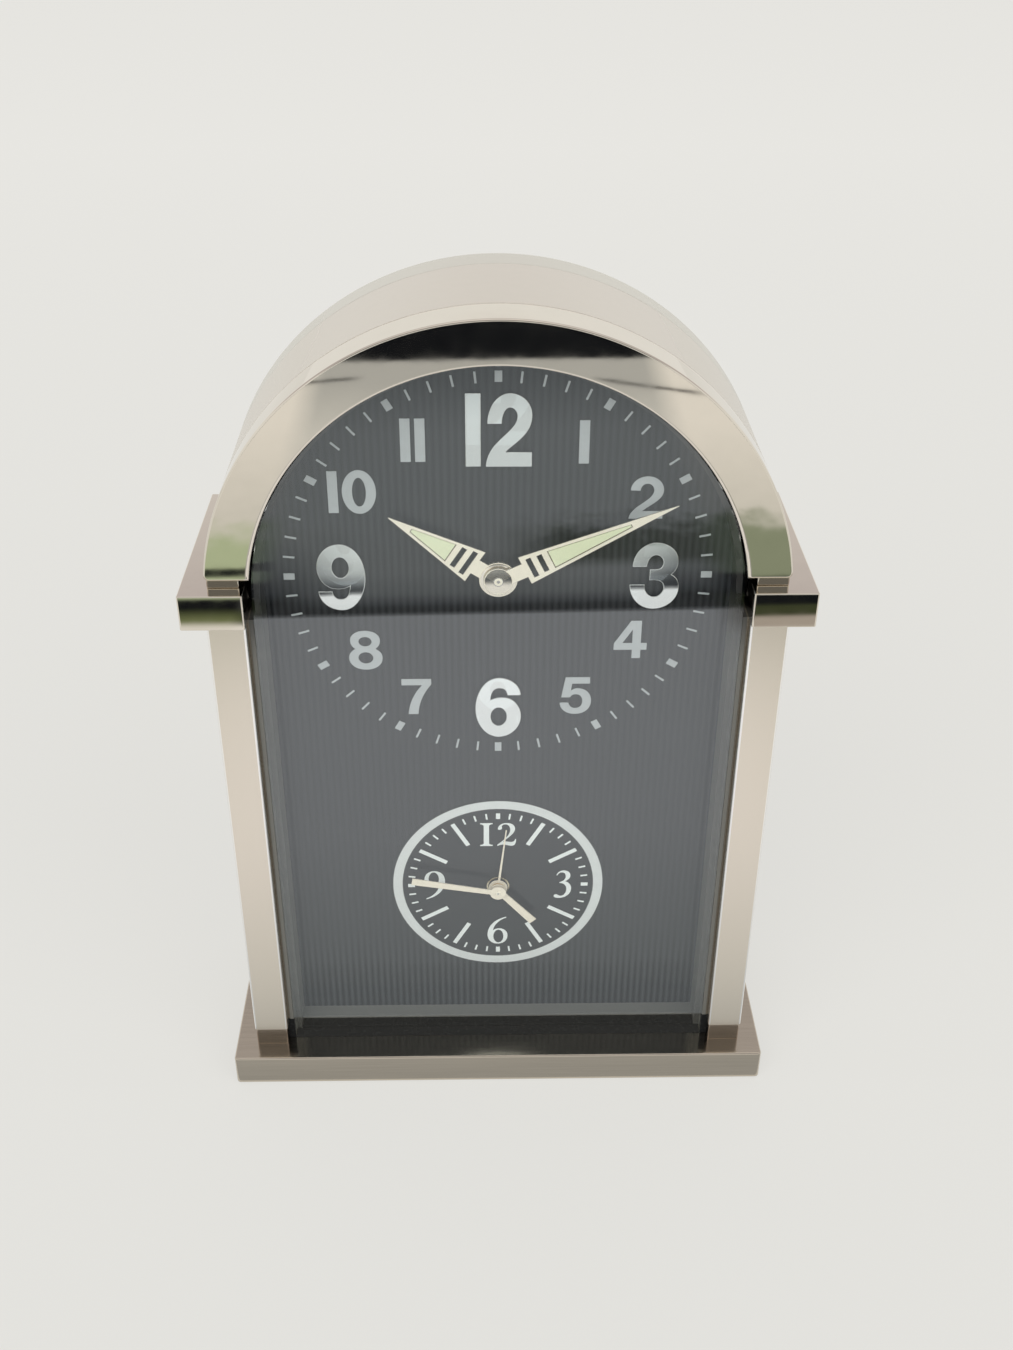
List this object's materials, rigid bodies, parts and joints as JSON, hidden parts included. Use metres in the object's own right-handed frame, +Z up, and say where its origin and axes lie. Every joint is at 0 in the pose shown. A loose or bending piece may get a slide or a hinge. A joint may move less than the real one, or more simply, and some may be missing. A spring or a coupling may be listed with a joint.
{
  "type": "arch-top table clock",
  "caption": "Arch-top table clock with a main dial, a separate alarm dial, a thick front glass, metal pillars and arch on a base plate, and two battery movements set from the back.",
  "frame": {"origin": "centre of the resting face under the base", "axes": "+Z up, -Y towards the viewer of the dial, +X to the right seen from the dial side"},
  "size_m": [0.1186, 0.047, 0.1763],
  "materials": {
    "base_gunmetal": "brushed, gunmetal brown",
    "foot_dark": "satin, dark brown grey",
    "champagne_satin": "satin anodised, champagne",
    "polished_nickel": "mirror polished nickel",
    "hand_nickel": "polished nickel with bevelled edges",
    "hand_champagne": "satin champagne plate",
    "front_glass": "clear, polished edges",
    "dial_grey": "dark grey with fine vertical ribs",
    "spacer_grey": "matt grey",
    "sill_black": "matt black",
    "cover_black": "fine matt texture",
    "movement_black": "moulded, matt",
    "knob_black": "moulded, satin",
    "switch_grey": "moulded, matt",
    "lume": "matt luminous paste",
    "screw_steel": "zinc plated",
    "arbor_steel": "turned",
    "wheel_brass": "turned and cut",
    "battery_case": "satin sleeve, plain",
    "felt": "pressed felt"
  },
  "bodies": {
    "case": {"base_plate": "base_gunmetal", "base_felt": "felt", "foot_block_left": "foot_dark", "foot_block_right": "foot_dark", "pillar_left": "champagne_satin", "pillar_right": "champagne_satin", "side_panel_left": "champagne_satin", "side_panel_right": "champagne_satin", "capital_left": "polished_nickel", "capital_right": "polished_nickel", "impost_left": "polished_nickel", "impost_right": "polished_nickel", "front_arch": "polished_nickel", "arch_shell": "champagne_satin", "rear_arch": "champagne_satin", "front_glass": "front_glass", "spacer_frame": "spacer_grey", "bottom_sill": "sill_black", "dial_plate": "dial_grey", "numeral_twelve_one": "polished_nickel", "numeral_twelve_two": "polished_nickel", "numeral_three": "polished_nickel", "numeral_six": "polished_nickel", "numeral_nine": "polished_nickel", "back_cover": "cover_black", "cover_screw_1": "screw_steel", "cover_screw_2": "screw_steel", "cover_screw_3": "screw_steel", "cover_screw_4": "screw_steel", "main_movement_case": "movement_black", "main_movement_cover": "movement_black", "main_bush_nut": "polished_nickel", "main_battery": "battery_case", "alarm_movement_case": "movement_black", "alarm_movement_cover": "movement_black", "alarm_bush_nut": "polished_nickel", "alarm_battery": "battery_case", "alarm_sounder": "wheel_brass"},
    "main_minute": {"main_minute_arbor": "arbor_steel", "minute_hand": "hand_nickel", "minute_hand_lume": "lume"},
    "main_hour": {"main_hour_wheel": "wheel_brass", "hour_hand": "hand_nickel", "hour_hand_lume": "lume"},
    "main_setting": {"main_setting_wheel": "arbor_steel", "main_setting_knob": "knob_black"},
    "alarm_minute": {"alarm_minute_arbor": "arbor_steel", "alarm_minute_hand": "hand_champagne"},
    "alarm_hour": {"alarm_hour_wheel": "wheel_brass", "alarm_hour_hand": "hand_champagne"},
    "alarm_setting": {"alarm_setting_wheel": "arbor_steel", "alarm_dial_setting_knob": "knob_black"},
    "alarm_indicator": {"alarm_wheel": "wheel_brass", "alarm_hand": "hand_champagne"},
    "alarm_time": {"alarm_time_arbor": "arbor_steel", "alarm_time_knob": "knob_black"},
    "alarm_slider": {"alarm_switch": "switch_grey"},
    "main_door": {"main_battery_door": "cover_black"},
    "alarm_door": {"alarm_battery_door": "cover_black"}
  },
  "joints": [
    {"name": "main_minute_turn", "type": "hinge", "parent": "case", "child": "main_minute", "pos_m": [0, 0, 0.1224], "axis": [0, 1, 0], "continuous": true},
    {"name": "main_hour_turn", "type": "hinge", "parent": "case", "child": "main_hour", "pos_m": [0, 0, 0.1224], "axis": [0, 1, 0], "continuous": true},
    {"name": "main_setting_turn", "type": "hinge", "parent": "case", "child": "main_setting", "pos_m": [0, 0, 0.1124], "axis": [0, 1, 0], "continuous": true},
    {"name": "alarm_minute_turn", "type": "hinge", "parent": "case", "child": "alarm_minute", "pos_m": [0, 0, 0.0454], "axis": [0, 1, 0], "continuous": true},
    {"name": "alarm_hour_turn", "type": "hinge", "parent": "case", "child": "alarm_hour", "pos_m": [0, 0, 0.0454], "axis": [0, 1, 0], "continuous": true},
    {"name": "alarm_setting_turn", "type": "hinge", "parent": "case", "child": "alarm_setting", "pos_m": [0, 0, 0.0354], "axis": [0, 1, 0], "continuous": true},
    {"name": "alarm_time_turn", "type": "hinge", "parent": "case", "child": "alarm_time", "pos_m": [0, 0, 0.0554], "axis": [0, 1, 0], "continuous": true},
    {"name": "alarm_indicator_turn", "type": "hinge", "parent": "case", "child": "alarm_indicator", "pos_m": [0, 0, 0.0454], "axis": [0, 1, 0], "continuous": true},
    {"name": "alarm_switch_slide", "type": "slide", "parent": "case", "child": "alarm_slider", "axis": [1, 0, 0], "range_m": [0, 0.006]},
    {"name": "main_battery_door_hinge", "type": "hinge", "parent": "case", "child": "main_door", "pos_m": [0, 0.0109, 0.10225], "axis": [1, 0, 0], "range_deg": [0, 90]},
    {"name": "alarm_battery_door_hinge", "type": "hinge", "parent": "case", "child": "alarm_door", "pos_m": [0, 0.0109, 0.02525], "axis": [1, 0, 0], "range_deg": [0, 90]}
  ],
  "couplings": [
    {"joint": "main_hour_turn", "follows": "main_minute_turn", "ratio": 0.083333},
    {"joint": "main_setting_turn", "follows": "main_minute_turn", "ratio": -0.33333},
    {"joint": "alarm_hour_turn", "follows": "alarm_minute_turn", "ratio": 0.083333},
    {"joint": "alarm_setting_turn", "follows": "alarm_minute_turn", "ratio": -0.33333},
    {"joint": "alarm_indicator_turn", "follows": "alarm_time_turn", "ratio": -0.25}
  ]
}
